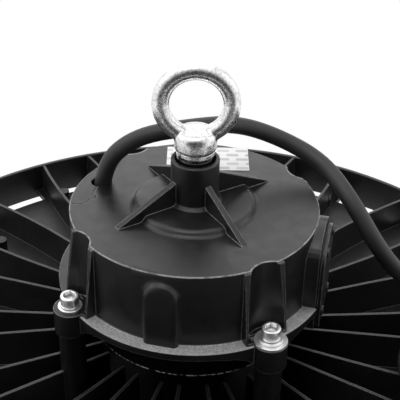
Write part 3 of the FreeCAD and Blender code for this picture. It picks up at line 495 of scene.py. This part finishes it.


# Greys given below for edges and the tray's rim are painted highlights and glints, the ledge's
# greys are painted lighter where light falls, and the dish's hub and the screws' recesses get
# painted shade.
MATERIALS = {
    "housing": coated_casting("housing_coat", (0.004, 0.004, 0.0045), (0.007, 0.007, 0.0075),
                              0.34, 0.9, ledge=((0.14, 0.14, 0.14), (0.45, 0.45, 0.45)),
                              edge_highlight=(0.25, 0.25, 0.25), soft=3.4),
    "heat_sink": coated_casting("sink_coat", (0.003, 0.003, 0.0035), (0.006, 0.006, 0.0065),
                                0.42, 0.35, edge_highlight=(0.1, 0.1, 0.1), hub_shade=True),
    "tray": coated_casting("tray_coat", (0.003, 0.003, 0.0035), (0.005, 0.005, 0.0055),
                           0.45, 0.6, hub_shade=True, rim_glint=(0.45, 0.45, 0.45)),
    "zinc": plated_steel("bright_zinc", 0.2, (0.6, 0.6, 0.6), 0.6),
    "screw_steel": plated_steel("screw_zinc", 0.36, (0.93, 0.92, 0.9), 0.3, shaded_hollows=True),
    "black_screw": coated_casting("black_steel", (0.02, 0.02, 0.021), (0.03, 0.03, 0.03),
                                  0.32, 0.2),
    "label": printed_film("label_film"),
    "black_rubber": moulded("black_rubber", (0.012, 0.012, 0.013), (0.018, 0.018, 0.018),
                            0.5, 1800, 0.06),
    "white_silicone": moulded("white_silicone", (0.72, 0.72, 0.7), (0.66, 0.66, 0.64), 0.5),
    "lens": moulded("lens_polycarbonate", (0.84, 0.87, 0.88), (0.8, 0.84, 0.86),
                    0.12, 300, 0.02, Transmission_Weight=0.82, IOR=1.58),
    "board_white": moulded("board_mask", (0.82, 0.82, 0.8), (0.77, 0.77, 0.76), 0.3),
    "chip_yellow": moulded("phosphor", (0.85, 0.66, 0.16), (0.8, 0.58, 0.12), 0.4),
    "board_green": moulded("green_mask", (0.03, 0.17, 0.07), (0.02, 0.13, 0.05), 0.3),
    "transformer": moulded("core_tape", (0.62, 0.48, 0.1), (0.5, 0.37, 0.08), 0.45),
    "capacitor": moulded("can_sleeve", (0.02, 0.03, 0.09), (0.015, 0.02, 0.07), 0.3),
    "terminal": moulded("terminal_nylon", (0.74, 0.73, 0.68), (0.68, 0.67, 0.62), 0.45),
    "brass": plated_steel("tinned_ends", 0.3, (0.6, 0.5, 0.3)),
    "core_red": moulded("lead_insulation", (0.45, 0.05, 0.03), (0.38, 0.04, 0.03), 0.4),
    "tie": moulded("tie_nylon", (0.02, 0.02, 0.02), (0.028, 0.028, 0.028), 0.42),
}


def smooth(mesh):
    """Shades every face of a mesh smoothly."""
    for face in mesh.polygons:
        face.use_smooth = True


def dress_cad():
    """Gives every CAD node its material and smooth shading over its curved faces."""
    for part in frame["record"]["subparts"]:
        mesh = nodes[part["node"]].data
        mesh.materials.clear()
        mesh.materials.append(MATERIALS[part["material_slot"]])
        smooth(mesh)
        mesh.set_sharp_from_angle(angle=math.radians(CAD_SHARP_ANGLE))


dress_cad()


def ring_faces(rings, steps):
    """Faces of a closed form whose points lie in rings of so many steps, one after another."""
    last = (rings - 1) * steps
    faces = [tuple(range(steps)), tuple(reversed(range(last, last + steps)))]
    for start in range(0, last, steps):
        for index in range(steps):
            first, second = start + index, start + (index + 1) % steps
            faces.append((first, first + steps, second + steps, second))
    return faces


def forged_eye():
    """The eye bolt with its ring, dome and collar run into each other as a forging's are."""
    bolt = nodes["eye_bolt"]
    skin = bolt.data.copy()
    form = bmesh.new()
    form.from_mesh(skin)
    to_own = bolt.matrix_world.inverted()
    corners = [form.verts.new(to_own @ (polar(radius, 360 / DOME_STEPS * index, height) * MM))
               for radius, height in DOME_OUTLINE for index in range(DOME_STEPS)]
    for face in ring_faces(len(DOME_OUTLINE), DOME_STEPS):
        form.faces.new([corners[index] for index in face])
    form.to_mesh(skin)
    form.free()
    item = bpy.data.objects.new("forged_eye", skin)
    item.matrix_world = bolt.matrix_world
    scene.collection.objects.link(item)
    remesh = item.modifiers.new("skin", "REMESH")
    remesh.mode = "VOXEL"
    remesh.voxel_size = EYE_VOXEL * MM
    soften = item.modifiers.new("soften", "SMOOTH")
    soften.factor = 0.5
    soften.iterations = EYE_SOFTENING
    made = item.evaluated_get(bpy.context.evaluated_depsgraph_get())
    skin = bpy.data.meshes.new_from_object(made)
    item.modifiers.clear()
    item.data = skin
    smooth(skin)
    skin.materials.clear()
    skin.materials.append(MATERIALS["zinc"])
    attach(item, "root")
    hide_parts("eye_bolt")


forged_eye()


def screw_outline(top, bottom):
    """(radius, height, whether it follows the socket's hexagon), from socket to shank's end."""
    flat = SOCKET_FLATS / 2
    seat = top - HEAD_HEIGHT
    return [(flat, top - SOCKET_DEPTH, True), (flat, top - 0.35, True), (flat + 0.4, top, False),
            (HEAD_RADIUS - 0.75, top, False), (HEAD_RADIUS - 0.35, top - 0.12, False),
            (HEAD_RADIUS - 0.1, top - 0.4, False), (HEAD_RADIUS, top - 0.85, False),
            (HEAD_RADIUS, seat + 0.3, False), (HEAD_RADIUS - 0.3, seat, False),
            (SCREW_RADIUS, seat, False), (SCREW_RADIUS, bottom + 0.6, False),
            (SCREW_RADIUS - 0.5, bottom, False)]


def hexagon_reach(flat, azimuth):
    """The distance from a hexagon's middle to its side at an azimuth."""
    return flat / math.cos(math.radians((azimuth + 30) % 60 - 30))


def socket_screw(name):
    """A socket head screw with a rounded head and a chamfered socket, in a CAD screw's place."""
    corners = [nodes[name].matrix_world @ Vector(corner) for corner in nodes[name].bound_box]
    top = max(corner.z for corner in corners) / MM
    bottom = min(corner.z for corner in corners) / MM
    middle = sum(corners, Vector()) / len(corners) / MM
    middle.z = 0
    outline = screw_outline(top, bottom)
    points = []
    for radius, height, hexagon in outline:
        for index in range(SCREW_STEPS):
            azimuth = 360 / SCREW_STEPS * index
            reach = hexagon_reach(radius, azimuth) if hexagon else radius
            points.append(middle + polar(reach, azimuth, height))
    piece = name.replace("housing", "socket")
    mesh = bpy.data.meshes.new(piece)
    mesh.from_pydata([tuple(point * MM) for point in points], [],
                     ring_faces(len(outline), SCREW_STEPS))
    mesh.update()
    smooth(mesh)
    mesh.set_sharp_from_angle(angle=math.radians(SCREW_SHARP_ANGLE))
    mesh.materials.append(MATERIALS["screw_steel"])
    screw = bpy.data.objects.new(piece, mesh)
    scene.collection.objects.link(screw)
    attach(screw, "root")
    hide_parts(name)


for node in list(nodes):
    if node.startswith("housing_screw_"):
        socket_screw(node)


# Power cable: out of the clamp, over the lid behind the eye bolt, down to the fins and its coil.
# Its points are the part's, but for (105, -3.5, 69), which was moved to follow the photograph.
CABLE_EXIT = (polar(CLAMP_INNER, CLAMP_AZIMUTH, CABLE_EXIT_HEIGHT)
              + polar(CABLE_OFFSET, CLAMP_AZIMUTH - 90))
CABLE_ROUTE = [
    CABLE_EXIT, CABLE_EXIT + Vector((0, 0, 25)), Vector((-31, 15, 136)), Vector((-3, 17, 141)),
    Vector((20, 30.5, 136.5)), Vector((42.5, 36.5, 126)), Vector((64.5, 26, 118)),
    Vector((77, 4, 109)), Vector((91, -7, 88)), Vector((105, -3.5, 69)), Vector((124, -1.5, 54.3)),
]


def coil_points():
    """The coil's turns, clockwise from above: each lies on the next and comes down to it."""
    # A spline of order 3 cuts inside a circle of points, so they lie further out than the turns.
    control_radius = COIL_RADIUS / (0.75 + 0.25 * math.cos(math.radians(COIL_STEP)))
    points = []
    for index in range(int(360 * COIL_TURNS / COIL_STEP) + 1):
        angle = index * COIL_STEP
        fallen = angle // 360 + max(0.0, (angle % 360) / 180 - 1)
        height = 2 * CABLE_RADIUS * (int(COIL_TURNS) - fallen)
        points.append(COIL_CENTRE + polar(control_radius, 90 - angle, height))
    return points


def power_cable():
    """The cable from the clamp to its bare end, one smooth curve over route, coil and tail."""
    tail = [COIL_CENTRE + Vector((-TAIL * share, -COIL_RADIUS, 0)) for share in (0.6, 1)]
    points = CABLE_ROUTE + coil_points() + tail
    curve = bpy.data.curves.new("cable", "CURVE")
    curve.dimensions = "3D"
    spline = curve.splines.new("NURBS")
    spline.points.add(len(points) - 1)
    for control, place in zip(spline.points, points):
        control.co = (*(place * MM), 1)
    spline.order_u = 3
    spline.use_endpoint_u = True
    spline.resolution_u = 8
    curve.bevel_depth = CABLE_RADIUS * MM
    curve.bevel_resolution = 7
    curve.use_fill_caps = True
    curve.materials.append(MATERIALS["black_rubber"])
    cable = bpy.data.objects.new("cable", curve)
    scene.collection.objects.link(cable)
    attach(cable, "root")
    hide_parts("power_cable", "power_cable_coil")
    return cable


cable = power_cable()


# Studio: a pale floor in a white tent that is dim towards the camera's side, and soft boxes.
def mix_shaders(tree, mask, first, second):
    """The first shader where the mask is nought, and the second where it is one."""
    made = tree.nodes.new("ShaderNodeMixShader")
    for socket, source in zip(made.inputs, (mask, first, second)):
        tree.links.new(source, socket)
    return made.outputs["Shader"]


def make_floor():
    """The floor: plain white to camera, glossy and transmission rays, paper to all others."""
    mesh = bpy.data.meshes.new("floor")
    half = FLOOR_HALF * MM
    height = -FLOOR_DEPTH * MM
    front = -FLOOR_FRONT * MM
    corners = [(-half, front, height), (half, front, height),
               (half, half, height), (-half, half, height)]
    mesh.from_pydata(corners, [], [(0, 1, 2, 3)])
    floor = bpy.data.objects.new("floor", mesh)
    scene.collection.objects.link(floor)
    made, tree, shader = material("floor_paper", Roughness=0.9, Base_Color=(0.8, 0.8, 0.8, 1))
    white = tree.nodes.new("ShaderNodeEmission")
    white.inputs["Color"].default_value = (1, 1, 1, 1)
    ray = tree.nodes.new("ShaderNodeLightPath").outputs
    seen = ray["Is Camera Ray"]
    as_white = either(tree, either(tree, seen, ray["Is Glossy Ray"]), ray["Is Transmission Ray"])
    paper = mix_shaders(tree, as_white, shader.outputs["BSDF"], white.outputs["Emission"])
    # From below the camera sees no floor, and under the lamp it lets light through to the lens.
    clear = tree.nodes.new("ShaderNodeBsdfTransparent")
    from_below = all_of(tree, geometry(tree, "Backfacing"), seen)
    away = distance_mask(tree, LENS_REACH, LENS_REACH + 1)
    under_lamp = below(tree, either(tree, away, seen), 0.5)
    as_clear = either(tree, from_below, under_lamp)
    surface = mix_shaders(tree, as_clear, paper, clear.outputs["BSDF"])
    tree.links.new(surface, tree.nodes["Material Output"].inputs["Surface"])
    mesh.materials.append(made)


def make_world():
    """The tent: plain white to camera and transmission rays, and with its opening to others."""
    world = bpy.data.worlds.new("studio")
    scene.world = world
    world.use_nodes = True
    tree = world.node_tree
    coords = tree.nodes.new("ShaderNodeTexCoord")
    facing = vector_node(tree, "DOT_PRODUCT", coords.outputs["Generated"],
                         OPENING_TOWARD.normalized())
    tent = tree.nodes["Background"]
    tent.inputs["Color"].default_value = (1, 1, 1, 1)
    strength = spread(tree, facing["Value"], TENT_LIGHT, OPENING_LIGHT, *OPENING_COSINES)
    tree.links.new(strength, tent.inputs["Strength"])
    white = tree.nodes.new("ShaderNodeBackground")
    white.inputs["Color"].default_value = (1, 1, 1, 1)
    ray = tree.nodes.new("ShaderNodeLightPath").outputs
    as_white = either(tree, ray["Is Camera Ray"], ray["Is Transmission Ray"])
    surface = mix_shaders(tree, as_white, tent.outputs["Background"], white.outputs["Background"])
    tree.links.new(surface, tree.nodes["World Output"].inputs["Surface"])


def soft_box(name, place, aim, width, height, power):
    """An area light that lights the lamp without showing to the camera."""
    light = bpy.data.lights.new(name, "AREA")
    light.shape = "RECTANGLE"
    light.size = width
    light.size_y = height
    light.energy = power
    item = bpy.data.objects.new(name, light)
    item.location = place
    item.rotation_euler = (Vector(aim) - Vector(place)).to_track_quat("-Z", "Y").to_euler()
    scene.collection.objects.link(item)
    item.visible_camera = False


scene.view_settings.view_transform = "Standard"
make_floor()
make_world()
for box in SOFT_BOXES:
    soft_box(*box)
